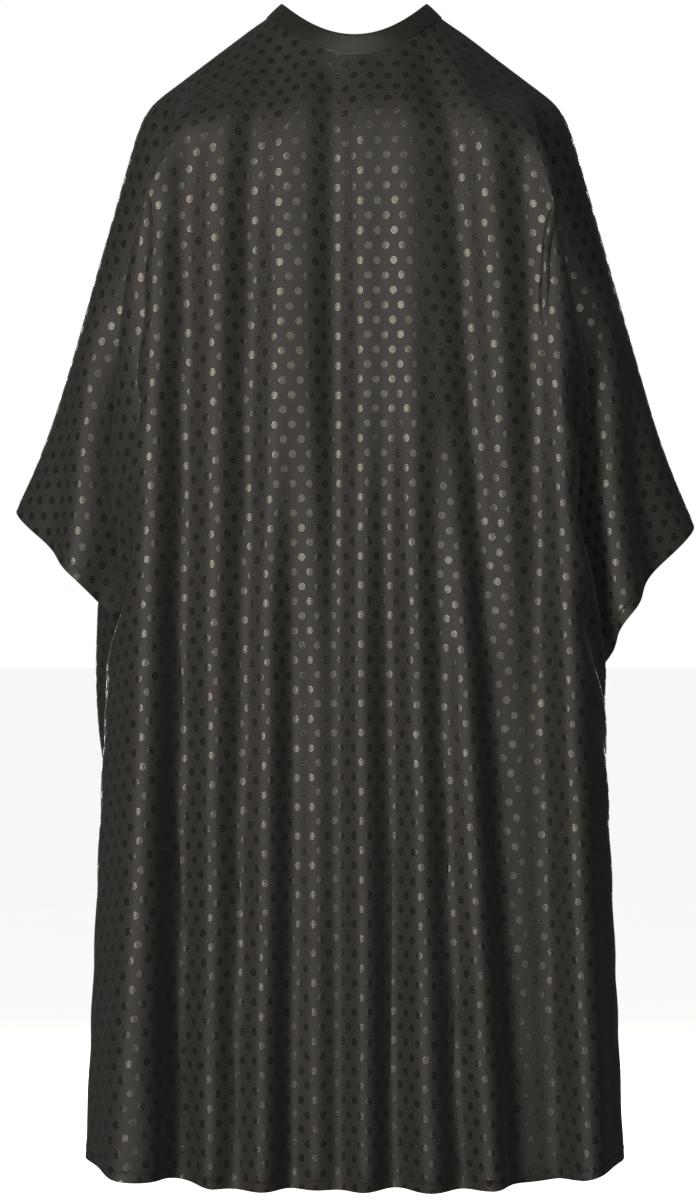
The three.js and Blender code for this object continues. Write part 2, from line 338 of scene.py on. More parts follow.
def keep_off_wearer(points, before, friction=0.3, gap=0.003):
    """Moves points out of the wearer's capsules, and slows their slip along them."""
    for side in (-1, 1):
        for start, end, near, far in WEARER:
            start = np.array(start) * [side, 1, 1]
            run = np.array(end) * [side, 1, 1] - start
            away = points - start
            share = np.clip(away @ run / (run @ run), 0, 1)
            away = away - share[:, None] * run
            distance = np.sqrt(np.einsum("ij,ij->i", away, away)) + SMALL
            depth = near + (far - near) * share + gap - distance
            hit = depth > 0
            if not hit.any():
                continue
            normal = away[hit] / distance[hit][:, None]
            points[hit] += normal * depth[hit][:, None]
            slip = points[hit] - before[hit]
            slip -= (slip * normal).sum(1)[:, None] * normal
            points[hit] -= slip * friction


def keep_apart(points, cloth, free, gap):
    """Pushes layers of cloth that come closer than the gap away from each other."""
    cell = np.floor(points / gap).astype(np.int64)
    cell -= cell.min(0)
    span = cell.max(0) + 2
    key = (cell[:, 0] * span[1] + cell[:, 1]) * span[2] + cell[:, 2]
    order = np.argsort(key, kind="stable")
    ranked = key[order]
    steps = [(0, 0, 0), (1, 0, 0), (0, 1, 0), (0, 0, 1)]
    steps += [(1, 1, 0), (1, -1, 0), (1, 0, 1), (1, 0, -1), (0, 1, 1), (0, 1, -1)]
    steps += [(1, 1, 1), (1, 1, -1), (1, -1, 1), (1, -1, -1)]
    firsts = []
    seconds = []
    for i, j, k in steps:
        wanted = key + (i * span[1] + j) * span[2] + k
        low = np.searchsorted(ranked, wanted, "left")
        many = np.searchsorted(ranked, wanted, "right") - low
        for nth in range(int(many.max())):
            first = np.where(many > nth)[0]
            second = order[low[first] + nth]
            if (i, j, k) == (0, 0, 0):
                first, second = first[second > first], second[second > first]
            firsts.append(first)
            seconds.append(second)
    first = np.concatenate(firsts)
    second = np.concatenate(seconds)
    # Points that are near each other in the flat panel aren't separate layers.
    same_layer = 2.2 * gap
    apart = cloth.flat[first] - cloth.flat[second]
    distant = np.einsum("ij,ij->i", apart, apart) > same_layer ** 2
    first, second = first[distant], second[distant]
    between = points[second] - points[first]
    distance = np.sqrt(np.einsum("ij,ij->i", between, between)) + SMALL
    close = distance < gap
    first, second = first[close], second[close]
    push = between[close] * ((gap - distance[close]) / distance[close] / 2)[:, None]
    total = np.zeros_like(points)
    uses = np.zeros(len(points))
    np.add.at(total, first, -push)
    np.add.at(total, second, push)
    np.add.at(uses, first, 1)
    np.add.at(uses, second, 1)
    pushed = uses > 0
    points[pushed] += total[pushed] / uses[pushed][:, None] * free[pushed][:, None]


def fold_guide(cloth, fold_depth):
    """Where the folds of the front ask each point to be, as x and y, and how firmly."""
    hem, top, hem_crest, top_crest = np.array(FOLDS).T
    across, down = cloth.flat[:, 0], -cloth.flat[:, 1]
    folds_start, folds_length = 0.10, 1.14
    fall = np.clip((down - folds_start) / folds_length, 0, 1)[:, None]
    # The folds take up a little more cloth than their width at the shoulders, and much more
    # at the hem, and that slack sets how deep they are.
    top_fullness, hem_fullness = 1.06, 1.45
    cut = top * top_fullness * (1 - fall) + hem * hem_fullness * fall
    hung = top * (1 - fall) + hem * fall
    slack = np.sqrt(np.maximum(np.diff(cut) ** 2 - np.diff(hung) ** 2, 0))
    depth = np.concatenate([slack[:, :1], (slack[:, 1:] + slack[:, :-1]) / 2, slack[:, -1:]], 1) / 2
    # The shoulders' folds give way to the hem's between these shares of the fall.
    change_start, change_length = 0.30, 0.25
    lower = np.clip((fall - change_start) / change_length, 0, 1)
    crest = top_crest * (1 - lower) + hem_crest * lower
    front = -0.110
    stand = front - fold_depth * depth * crest
    point = np.arange(cloth.count)
    fold = np.clip((across[:, None] >= cut).sum(1) - 1, 0, len(FOLDS) - 2)
    share = (across - cut[point, fold]) / (cut[point, fold + 1] - cut[point, fold])
    past = np.where(share < 0, cut[:, 0] - across, np.where(share > 1, across - cut[:, -1], 0))
    share = np.clip(share, 0, 1)
    x = hung[point, fold] * (1 - share) + hung[point, fold + 1] * share
    # Ridges are broad and valleys are narrow.
    breadth = 2.2
    inward = crest[point, fold] > crest[point, fold + 1]
    soft = np.where(inward, share ** breadth, 1 - (1 - share) ** breadth)
    y = stand[point, fold] * (1 - soft) + stand[point, fold + 1] * soft
    # Past the last fold the cloth turns the corner and runs back, low down only.
    corner_width, corner_fullness = 0.03, 1.3
    x += np.sign(across) * np.minimum(past, corner_width) / 2
    y += past / corner_fullness
    # How far below the neck's centre the guide takes hold, and over what length, and how far
    # past the last fold it lets go.
    front_start, front_length = 0.14, 0.15
    side_start, side_length = 0.66, 0.2
    side_reach, side_fade = 0.25, 0.1
    firm = np.clip((down - front_start) / front_length, 0, 1)
    corner = np.clip((down - side_start) / side_length, 0, 1)
    corner = corner * np.clip(1 - (past - side_reach) / side_fade, 0, 1)
    firm = np.where(past > 0, corner, firm) * (cloth.flat[:, 1] < 0)
    return x, y, firm


def hang(cloth, points, sizes, steps, pace, drag, gap, pinned, pull, rising):
    """Lets the cloth fall and settle on the wearer: points are moved step by step by their
    weight, the folds' guide, the links, the wearer and the other layers of cloth.

    pace is the seconds of one step, drag the speed lost in it, and gap the distance kept
    between layers. pinned is how many cells from the neck's edge are held. pull is the
    guide's first and last firmness and the share of the run when it changes, and rising the
    share over which it sets in."""
    radius = sizes.neck_radius
    seam = sizes.band_width - sizes.band_seam
    held = cloth.radius < cloth.neck_cut + pinned * cloth.step
    free = np.where(held, 0.0, 1.0)
    points[held] = neck_middle(cloth.turn[held], seam + cloth.radius[held] - cloth.neck_cut, radius)
    links = []
    for start, end, length, weight, bending in cloth.links:
        both = free[start] + free[end]
        some = both > 0
        start, end, both = start[some], end[some], both[some]
        start_share = (free[start] / both * weight)[:, None]
        end_share = (free[end] / both * weight)[:, None]
        links.append((start, end, length[some], start_share, end_share, bending))
    anchor = neck_middle(cloth.turn, np.full(cloth.count, seam), radius)
    leash = cloth.radius - cloth.neck_cut
    fold_x, fold_y, firm = fold_guide(cloth, sizes.fold_depth)
    # The slit's two edges hang beside each other, and are drawn there gently.
    slit_reach, lip_gap, lip_pull = 0.05, 0.004, 0.01
    middle_back = (cloth.flat[:, 1] > 0) & (np.abs(cloth.flat[:, 0]) < slit_reach)
    lip_x = cloth.flat[:, 0] + np.sign(cloth.turn) * lip_gap
    foremost, hindmost = -0.152, 0.155
    easing_share = 0.1
    layer_rest = 6
    top_speed = 4
    loose = ~held
    first_pull, last_pull, hold_until = pull
    speed = np.zeros_like(points)
    for step in range(steps):
        speed[:, 2] -= GRAVITY * pace * free
        speed *= 1 - drag
        before = points.copy()
        points += speed * pace * free[:, None]
        done = step / steps
        easing = np.clip((done - hold_until) / easing_share, 0, 1) if done >= hold_until else 0
        onset = min(1, done / rising if rising else 1)
        firmness = (first_pull + (last_pull - first_pull) * easing) * onset
        points[:, 0] += (fold_x - points[:, 0]) * firmness * firm
        points[:, 1] += (fold_y - points[:, 1]) * firmness * firm
        points[middle_back, 0] += (lip_x - points[:, 0])[middle_back] * lip_pull
        points[:, 1] = np.clip(points[:, 1], foremost, hindmost)
        for start, end, length, start_share, end_share, bending in links:
            between = points[end] - points[start]
            distance = np.sqrt(np.einsum("ij,ij->i", between, between)) + TINY
            stretch = (distance - length) / distance
            if bending:
                stretch = np.minimum(stretch, 0)
            between *= stretch[:, None]
            points[start] += between * start_share
            points[end] -= between * end_share
        between = points - anchor
        distance = np.sqrt(np.einsum("ij,ij->i", between, between)) + SMALL
        taut = loose & (distance > leash)
        points[taut] = anchor[taut] + between[taut] * (leash[taut] / distance[taut])[:, None]
        moving = points[loose]
        keep_off_wearer(moving, before[loose])
        points[loose] = moving
        if step % layer_rest == 0:
            keep_apart(points, cloth, free, gap)
        speed = (points - before) / pace
        rate = np.sqrt(np.einsum("ij,ij->i", speed, speed))
        fast = rate > top_speed
        speed[fast] *= (top_speed / rate[fast])[:, None]
    return points


def carried(cloth, points, spots, turns):
    """Each flat spot's place on the hanging cloth, and how it moves along x and y there."""
    table = {}
    for index, (x, y) in enumerate(cloth.flat):
        table.setdefault((round(x / cloth.step), round(y / cloth.step)), []).append(index)
    blur = 0.6 * cloth.step
    found = np.zeros((len(spots), 3, 3))
    for number, (x, y) in enumerate(spots):
        i = math.floor(x / cloth.step)
        j = math.floor(y / cloth.step)
        near = []
        for column in range(i - 1, i + 3):
            for row in range(j - 1, j + 3):
                near += table.get((column, row), ())
        if y > 0 and abs(x) < 2 * cloth.step:
            near = [index for index in near
                    if np.sign(cloth.turn[index]) == np.sign(turns[number])
                    or cloth.flat[index, 1] <= 0]
        away = cloth.flat[near] - (x, y)
        weight = np.exp(-(away ** 2).sum(1) / blur ** 2) + SMALL
        terms = np.c_[np.ones(len(near)), away]
        square = (terms * weight[:, None]).T @ terms + np.eye(3) * SMALL
        found[number] = np.linalg.solve(square, (terms * weight[:, None]).T @ points[near])
    return found


def ironed(cloth, points, rounds=6):
    """Takes out the ripples of one cell, and keeps the folds: each round draws the points
    together and then lets them out again by a little more."""
    draw_in, let_out = 0.5, -0.52
    held = cloth.radius < cloth.neck_cut + 1.2 * cloth.step
    rim = np.zeros(cloth.count, bool)
    rim[cloth.rim_edges.ravel()] = True
    for amount in (draw_in, let_out) * rounds:
        for chosen, edges in ((~rim, cloth.edges), (rim, cloth.rim_edges)):
            total = np.zeros_like(points)
            uses = np.bincount(edges.ravel(), minlength=cloth.count)
            np.add.at(total, edges[:, 0], points[edges[:, 1]])
            np.add.at(total, edges[:, 1], points[edges[:, 0]])
            moved = chosen & (uses > 1) & ~held
            points[moved] += (total[moved] / uses[moved][:, None] - points[moved]) * amount
    return points


def drape(sizes):
    """The hanging panel: a coarse cloth falls first, and a fine one settles from its
    shape."""
    coarse_cell, fine_cell = 0.026, 0.013
    coarse = Cloth(coarse_cell, sizes.neck_cut)
    across, toward = coarse.flat.T
    # It starts held out flat: level near the neck, and sloping and waving a little outside.
    level, slope, level_radius, wave, lip_gap = 0.035, 0.25, 0.12, 0.006, 0.003
    rise = level - slope * np.maximum(coarse.radius - level_radius, 0)
    rise += wave * np.cos(3 * coarse.turn) * coarse.radius
    start = np.stack([across + coarse.lip * lip_gap, toward, rise], 1)
    fallen = hang(coarse, start, sizes, steps=1300, pace=0.003, drag=0.006, gap=0.016,
                  pinned=0.8, pull=(0.08, 0.06, 0.8), rising=0.25)
    fine = Cloth(fine_cell, sizes.neck_cut)
    points = carried(coarse, fallen, fine.flat, fine.turn)[:, 0]
    points = hang(fine, points, sizes, steps=500, pace=0.002, drag=0.01, gap=0.009,
                  pinned=1.2, pull=(0.20, 0.20, 0.4), rising=0)
    return fine, ironed(fine, points)


# ---- Materials ------------------------------------------------------------------------

def add_node(tree, kind, inputs=(), **settings):
    """A shader node with its settings, and its inputs as values or sockets to link."""
    made = tree.nodes.new(kind)
    for name, value in settings.items():
        setattr(made, name, value)
    for key, value in dict(inputs).items():
        if isinstance(value, bpy.types.NodeSocket):
            tree.links.new(value, made.inputs[key])
        else:
            made.inputs[key].default_value = value
    return made


def new_material(name, **values):
    """A new material's node tree and its surface shader, with the values that are the same
    all over the surface. An underscore stands for a space in a value's name."""
    material = bpy.data.materials.new(name)
    material.use_nodes = True
    surface = material.node_tree.nodes["Principled BSDF"]
    for key, value in values.items():
        surface.inputs[key.replace("_", " ")].default_value = value
    return material, material.node_tree, surface


def link_surface(tree, surface, sockets):
    """Links sockets to the surface shader's inputs."""
    for name, socket in sockets.items():
        tree.links.new(socket, surface.inputs[name])


def solid(rgb, strength=1.0):
    """A colour property as a shader colour, lighter or darker by a factor."""
    return (*[part * strength for part in rgb], 1.0)


# The sockets of a colour mix: its factor, its two colours and its result.
FACTOR, FIRST, SECOND, RESULT = 0, 6, 7, 2

# How far apart the bands of a wave texture are at scale 1: along an axis and on the diagonal.
BAND_RUN = math.pi / 10
DIAGONAL_RUN = math.pi / 5


def lattice_distance(tree, place, sizes):
    """How far each point is from the nearest dot's middle, as a share of the dots' pitch. The
    dots of each row stand between those of the next."""
    nearest = []
    for shift in (0.0, 0.5):
        cell = add_node(tree, "ShaderNodeVectorMath", operation="MULTIPLY_ADD", inputs={
            0: place, 1: (1 / sizes.dot_spacing, 1 / sizes.dot_pitch, 1), 2: (shift, shift, 0)})
        part = add_node(tree, "ShaderNodeVectorMath", {0: cell.outputs[0]}, operation="FRACTION")
        middle = add_node(tree, "ShaderNodeVectorMath", {0: part.outputs[0], 1: (0.5, 0.5, 0)},
                          operation="SUBTRACT")
        flat = add_node(tree, "ShaderNodeVectorMath", {
            0: middle.outputs[0], 1: (sizes.dot_spacing / sizes.dot_pitch, 1, 0),
        }, operation="MULTIPLY")
        nearest.append(add_node(
            tree, "ShaderNodeVectorMath", {0: flat.outputs[0]}, operation="LENGTH").outputs["Value"])
    return add_node(
        tree, "ShaderNodeMath", {0: nearest[0], 1: nearest[1]}, operation="MINIMUM").outputs[0]


def jacquard_polyester(sizes, colours):
    """Woven polyester with satin dots: a matt, slightly warm near-black ground, and dots whose
    longer threads shine where they face the light and look darker elsewhere."""
    material, tree, surface = new_material(
        "jacquard_polyester", IOR=1.52, Specular_IOR_Level=0.30, Sheen_Weight=0.06,
        Sheen_Roughness=0.45)
    place = add_node(tree, "ShaderNodeUVMap", uv_map="cut").outputs["UV"]
    distance = lattice_distance(tree, place, sizes)
    edge = sizes.dot_diameter / 2 / sizes.dot_pitch
    thread = 0.7 * MM / sizes.dot_pitch
    dot = add_node(tree, "ShaderNodeMapRange", {
        "Value": distance, "From Min": edge + thread / 2, "From Max": edge - thread / 2,
    }, interpolation_type="SMOOTHSTEP").outputs["Result"]
    # Long threads float over the rim and the heart of a dot, and short ones between them.
    turns = add_node(tree, "ShaderNodeMath", {
        0: distance, 1: 2 * math.pi / edge}, operation="MULTIPLY").outputs[0]
    rosette = add_node(tree, "ShaderNodeMath", {0: turns}, operation="COSINE").outputs[0]
    # The weave's ribs are 0.25 mm apart, and are drawn at 1.1 mm so that they show.
    rib = 1.1 * MM
    warp, weft = [add_node(tree, "ShaderNodeTexWave", {
        "Vector": place, "Scale": BAND_RUN / rib, "Distortion": 0.6, "Detail": 1.0,
    }, wave_type="BANDS", bands_direction=axis).outputs["Fac"] for axis in "XY"]
    weave = add_node(tree, "ShaderNodeMath", {0: warp, 1: weft}, operation="MULTIPLY").outputs[0]
    # Slubs and dye vary over about 30 mm.
    dye_and_pucker_shade = add_node(tree, "ShaderNodeTexNoise", {
        "Vector": place, "Scale": 34.0, "Detail": 4.0, "Roughness": 0.6}).outputs["Fac"]
    ground = add_node(tree, "ShaderNodeMix", {
        FACTOR: dye_and_pucker_shade, FIRST: solid(colours.ground, 0.82), SECOND: solid(colours.ground, 1.2),
    }, data_type="RGBA").outputs[RESULT]
    tone = add_node(tree, "ShaderNodeMix", {
        FACTOR: dot, FIRST: ground, SECOND: solid(colours.dots)}, data_type="RGBA")
    shine = add_node(tree, "ShaderNodeMapRange", {
        "Value": rosette, "From Min": -1.0, "To Min": 0.36, "To Max": 0.20}).outputs["Result"]
    ground_roughness = 0.62
    rough = add_node(
        tree, "ShaderNodeMix", {0: dot, 2: ground_roughness, 3: shine}, data_type="FLOAT")
    floats = add_node(tree, "ShaderNodeMapRange", {
        "Value": rosette, "From Min": -1.0, "To Min": 0.70, "To Max": 0.97}).outputs["Result"]
    gloss = add_node(tree, "ShaderNodeMath", {0: dot, 1: floats}, operation="MULTIPLY")
    # The cloth is crinkled every 13 mm or so from lying folded.
    crinkle = add_node(tree, "ShaderNodeTexNoise", {
        "Vector": place, "Scale": 75.0, "Detail": 3.0, "Roughness": 0.55}).outputs["Fac"]
    wrinkled = add_node(tree, "ShaderNodeBump", {
        "Height": crinkle, "Distance": 1.2 * MM, "Strength": 0.35}).outputs["Normal"]
    woven = add_node(tree, "ShaderNodeBump", {
        "Height": weave, "Distance": 0.12 * MM, "Strength": 0.5, "Normal": wrinkled,
    }).outputs["Normal"]
    raised = add_node(tree, "ShaderNodeBump", {
        "Height": dot, "Distance": 0.15 * MM, "Strength": 0.6, "Normal": woven})
    link_surface(tree, surface, {
        "Base Color": tone.outputs[RESULT], "Roughness": rough.outputs[0],
        "Metallic": gloss.outputs[0], "Normal": raised.outputs["Normal"]})
    return material


def satin_weave(colours):
    """Polyester satin binding: plain, with fine threads across it, a soft broad shine and
    small puckers beside the seam."""
    material, tree, surface = new_material(
        "satin_binding", IOR=1.52, Sheen_Weight=0.05, Anisotropic=0.35)
    place = add_node(tree, "ShaderNodeUVMap", uv_map="cut").outputs["UV"]
    # Puckers are about 11 mm apart, and the same noise paints light on their crests and shade in
    # their hollows.
    dye_and_pucker_shade = add_node(tree, "ShaderNodeTexNoise", {
        "Vector": place, "Scale": 90.0, "Detail": 3.0}).outputs["Fac"]
    # The tone follows the puckers' height: painted light on their crests and painted shade in their
    # hollows.
    tone = add_node(tree, "ShaderNodeMix", {
        FACTOR: dye_and_pucker_shade, FIRST: solid(colours.satin, 0.85), SECOND: solid(colours.satin, 1.15),
    }, data_type="RGBA")
    rough = add_node(tree, "ShaderNodeMapRange", {
        "Value": dye_and_pucker_shade, "To Min": 0.34, "To Max": 0.46})
    # Satin threads are 0.15 mm apart, and are drawn at 0.8 mm so that they show.
    spacing = 0.8 * MM
    thread = add_node(tree, "ShaderNodeTexWave", {
        "Vector": place, "Scale": BAND_RUN / spacing, "Distortion": 0.8, "Detail": 1.0,
    }, wave_type="BANDS", bands_direction="X").outputs["Fac"]
    pucker = add_node(tree, "ShaderNodeBump", {
        "Height": dye_and_pucker_shade, "Distance": 0.7 * MM, "Strength": 0.5}).outputs["Normal"]
    bump = add_node(tree, "ShaderNodeBump", {
        "Height": thread, "Distance": 0.08 * MM, "Strength": 0.5, "Normal": pucker})
    link_surface(tree, surface, {
        "Base Color": tone.outputs[RESULT], "Roughness": rough.outputs["Result"],
        "Normal": bump.outputs["Normal"]})
    return material


def spun_thread(colours):
    """Polyester sewing thread: matt, with the twist of its plies and painted light and shade along
    them.
    """
    material, tree, surface = new_material("spun_thread", Roughness=0.55)
    place = add_node(tree, "ShaderNodeTexCoord").outputs["Object"]
    ply = 0.4 * MM
    twist = add_node(tree, "ShaderNodeTexWave", {
        "Vector": place, "Scale": DIAGONAL_RUN / ply, "Distortion": 1.0,
    }, wave_type="BANDS", bands_direction="DIAGONAL").outputs["Fac"]
    # The tone follows the twist: painted light on the plies' crests and painted shade in the grooves
    # between them.
    tone = add_node(tree, "ShaderNodeMix", {
        FACTOR: twist, FIRST: solid(colours.thread, 0.7), SECOND: solid(colours.thread, 1.3),
    }, data_type="RGBA")
    bump = add_node(tree, "ShaderNodeBump", {"Height": twist, "Distance": 0.1 * MM})
    link_surface(tree, surface, {
        "Base Color": tone.outputs[RESULT], "Normal": bump.outputs["Normal"]})
    return material


def pressed_felt(colours):
    """Non-woven interlining: pressed pale fibres with no grain, quite matt."""
    material, tree, surface = new_material("pressed_felt", Roughness=0.93)
    place = add_node(tree, "ShaderNodeTexCoord").outputs["Object"]
    # Fibres lie in clumps about 1.5 mm across.
    fibre = add_node(tree, "ShaderNodeTexNoise", {
        "Vector": place, "Scale": 650.0, "Detail": 5.0, "Roughness": 0.7, "Distortion": 1.5,
    }).outputs["Fac"]
    tone = add_node(tree, "ShaderNodeMix", {
        FACTOR: fibre, FIRST: solid(colours.felt, 0.75), SECOND: solid(colours.felt),
    }, data_type="RGBA")
    bump = add_node(tree, "ShaderNodeBump", {"Height": fibre, "Distance": 0.2 * MM})
    link_surface(tree, surface, {
        "Base Color": tone.outputs[RESULT], "Normal": bump.outputs["Normal"]})
    return material


def nickel_plate(colours):
    """Nickel-plated brass, stamped and tumbled: a warm grey metal with fine scuffs and a
    shine dulled by handling."""
    material, tree, surface = new_material("nickel_plated_brass", Metallic=1.0)
    place = add_node(tree, "ShaderNodeTexCoord").outputs["Object"]
    # Tumbling marks are about 0.4 mm across, and the haze of handling about 2.4 mm.
    scuff = add_node(tree, "ShaderNodeTexNoise", {
        "Vector": place, "Scale": 2400.0, "Detail": 4.0, "Roughness": 0.65}).outputs["Fac"]
    haze = add_node(tree, "ShaderNodeTexNoise", {
        "Vector": place, "Scale": 420.0, "Detail": 2.0}).outputs["Fac"]
    rough = add_node(tree, "ShaderNodeMapRange", {
        "Value": haze, "From Min": 0.3, "From Max": 0.7, "To Min": 0.18, "To Max": 0.36})
    tone = add_node(tree, "ShaderNodeMix", {
        FACTOR: haze, FIRST: solid(colours.nickel, 0.86), SECOND: solid(colours.nickel),
    }, data_type="RGBA")
    bump = add_node(tree, "ShaderNodeBump", {
        "Height": scuff, "Distance": 0.02 * MM, "Strength": 0.6})
    link_surface(tree, surface, {
        "Base Color": tone.outputs[RESULT], "Roughness": rough.outputs["Result"],
        "Normal": bump.outputs["Normal"]})
    return material


def material_for(name):
    """One of the cape's materials, made the first time that it is asked for."""
    made = bpy.data.materials.get(name)
    if made:
        return made
    scene = bpy.context.scene
    if name == "jacquard_polyester":
        return jacquard_polyester(scene.cape_sizes, scene.cape_colours)
    makers = {
        "satin_binding": satin_weave, "spun_thread": spun_thread,
        "pressed_felt": pressed_felt, "nickel_plated_brass": nickel_plate,
    }
    return makers[name](scene.cape_colours)


# ---- Mesh helpers ---------------------------------------------------------------------

# Faces that meet at less than this angle are shaded as one surface.
SMOOTH_ANGLE = math.radians(40)


def only(piece):
    """Selects one object and nothing else."""
    bpy.ops.object.select_all(action="DESELECT")
    piece.select_set(True)
    bpy.context.view_layer.objects.active = piece


def from_points(name, points, faces, flat=None):
    """A new object from its points and faces, with each point's flat place as its UV map."""
    mesh = bpy.data.meshes.new(name)
    mesh.from_pydata(np.asarray(points).tolist(), [], np.asarray(faces).tolist())
    if flat is not None:
        corner = np.empty(len(mesh.loops), np.int32)
        mesh.loops.foreach_get("vertex_index", corner)
        layer = mesh.uv_layers.new(name="cut")
        layer.data.foreach_set("uv", np.asarray(flat, np.float32)[corner].ravel())
    piece = bpy.data.objects.new(name, mesh)
    bpy.context.scene.collection.objects.link(piece)
    only(piece)
    return piece


def finish_with(piece, kind, **settings):
    """Adds one modifier and applies it."""
    only(piece)
    modifier = piece.modifiers.new(kind.title(), kind)
    for name, value in settings.items():
        setattr(modifier, name, value)
    bpy.ops.object.modifier_apply(modifier=modifier.name)


def dress(piece, material, slot, body, *nodes):
    """Gives a piece its material, its body and the CAD nodes that it stands for. Its slot is not
    used.
    """
    only(piece)
    bpy.ops.object.shade_smooth_by_angle(angle=SMOOTH_ANGLE)
    piece.data.materials.clear()
    piece.data.materials.append(material_for(material))
    if body:
        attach(piece, body)
    if nodes:
        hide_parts(*nodes)
    return piece


def strip(name, rows, flat):
    """A sheet from rows of points, one row across for each step along."""
    rows = np.asarray(rows)
    along, across = rows.shape[:2]
    index = np.arange(along * across).reshape(along, across)
    a, b = index[:-1, :-1].ravel(), index[1:, :-1].ravel()
    c, d = index[1:, 1:].ravel(), index[:-1, 1:].ravel()
    return from_points(name, rows.reshape(-1, 3), np.stack([a, b, c, d], 1), flat.reshape(-1, 2))


def one_stitch(length, width):
    """The shape of one stitch along X: a rounded rod that dips at both ends."""
    # Shares of the stitch: its straight middle, where an end begins, and how far it runs on.
    straight, end_start, end_run = 0.6, 0.29, 0.2
    taper = 0.4
    bpy.ops.object.select_all(action="DESELECT")
    bpy.ops.mesh.primitive_cylinder_add(
        vertices=6, radius=width / 2, depth=length * straight, rotation=(0, math.pi / 2, 0))
    rod = bpy.context.object
    bpy.ops.object.transform_apply(location=False, rotation=True, scale=False)
    bpy.ops.object.mode_set(mode="EDIT")
    for end in (-1, 1):
        bpy.ops.mesh.select_all(action="DESELECT")
        bpy.ops.object.mode_set(mode="OBJECT")
        for face in rod.data.polygons:
            face.select = face.center.x * end > length * end_start
        bpy.ops.object.mode_set(mode="EDIT")
        bpy.ops.mesh.extrude_region_move(
            TRANSFORM_OT_translate={"value": (end * length * end_run, 0, -width / 2)})
        bpy.ops.transform.resize(
            value=(taper,) * 3, center_override=(end * length / 2, 0, -width / 2))
    bpy.ops.object.mode_set(mode="OBJECT")
    points = np.array([vertex.co for vertex in rod.data.vertices])
    faces = [list(face.vertices) for face in rod.data.polygons]
    bpy.data.objects.remove(rod)
    return points, faces


def stitches(name, line, normals, sizes, width=0.55 * MM):
    """A row of stitches along a line of points that lies on the cloth."""
    points, faces = one_stitch(sizes.stitch_length, width)
    line = np.asarray(line)
    travelled = np.r_[0, np.cumsum(np.linalg.norm(np.diff(line, axis=0), axis=1))]
    pitch = sizes.stitch_length + sizes.stitch_gap
    middles = np.arange(pitch / 2, travelled[-1] - pitch / 2, pitch)

    def at(values, where):
        """The values along the line, at distances travelled along it."""
        return np.stack([np.interp(where, travelled, column) for column in values.T], -1)

    half = sizes.stitch_length / 2
    along = at(line, middles + half) - at(line, middles - half)
    along /= np.linalg.norm(along, axis=1, keepdims=True)
    up = at(np.asarray(normals), middles)
    side = np.cross(up, along)
    side /= np.linalg.norm(side, axis=1, keepdims=True)
    up = np.cross(along, side)
    frames = np.stack([along, side, up], 1)
    placed = np.einsum("pk,nkc->npc", points, frames) + at(line, middles)[:, None]
    all_faces = []
    for index in range(len(middles)):
        all_faces += [[corner + index * len(points) for corner in face] for face in faces]
    mesh = bpy.data.meshes.new(name)
    mesh.from_pydata(placed.reshape(-1, 3).tolist(), [], all_faces)
    row = bpy.data.objects.new(name, mesh)
    bpy.context.scene.collection.objects.link(row)
    return row


# ---- The pieces -----------------------------------------------------------------------

class CAPE_OT_panel(bpy.types.Operator):
    """Drape the panel over the wearer's shoulders, and turn and stitch its hem"""

    bl_idname = "cape.panel"
    bl_label = "Drape the panel"

    def execute(self, context):
        sizes = context.scene.cape_sizes
        cloth, points = drape(sizes)
        panel = from_points("draped_panel", points, cloth.quads, cloth.flat)
        finish_with(panel, "SUBSURF", levels=1, render_levels=1)
        finish_with(panel, "SOLIDIFY", thickness=sizes.panel_thickness, offset=0)
        dress(panel, "jacquard_polyester", "cape_cloth", "cape", "cape_panel")
        hem, hem_line, hem_normals = self.hem(cloth, points, sizes)
        thread = stitches("hem_stitching", hem_line, hem_normals, sizes)
        dress(thread, "spun_thread", "cape_cloth", "cape")
        return {"FINISHED"}

    def hem(self, cloth, points, sizes):
        """The hem's turned layer inside the panel, and the line of its stitches outside."""
        outline = whole_outline()
        travelled = np.r_[0, np.cumsum(np.linalg.norm(np.diff(outline, axis=0), axis=1))]
        step = 6 * MM
        stops = np.arange(0, travelled[-1], step)
        rim = np.stack([np.interp(stops, travelled, column) for column in outline.T], 1)
        along = np.gradient(rim, axis=0)
        inward = np.stack([-along[:, 1], along[:, 0]], 1)
        inward /= np.linalg.norm(inward, axis=1, keepdims=True)
        # Across the hem from its fold to its raw edge: the share of its width, and how far
        # the turned layer stands off the panel there. The stitches run along the fourth.
        shares = np.array([0.02, 0.25, 0.55, 0.85, 1.0])
        lift = np.array([0.5, 1.0, 1.0, 0.9, 0.35]) * 1.1 * MM
        stitched = 3
        stitch_height = 0.42 * MM
        spots = rim[:, None] + inward[:, None] * (shares * sizes.hem_width)[:, None]
        flat = spots.reshape(-1, 2)
        turns = np.arctan2(flat[:, 0], -flat[:, 1])
        found = carried(cloth, points, flat, turns)
        normals = np.cross(found[:, 1], found[:, 2])
        normals /= np.linalg.norm(normals, axis=1, keepdims=True)
        layer = found[:, 0] - normals * np.tile(lift, len(rim))[:, None]
        hem = strip("turned_hem", layer.reshape(*spots.shape[:2], 3), flat)
        finish_with(hem, "SOLIDIFY", thickness=0.5 * MM, offset=0)
        dress(hem, "jacquard_polyester", "cape_cloth", "cape")
        shape = (*spots.shape[:2], 3)
        outward = normals.reshape(shape)[:, stitched]
        line = found[:, 0].reshape(shape)[:, stitched] + outward * stitch_height
        return hem, line, outward


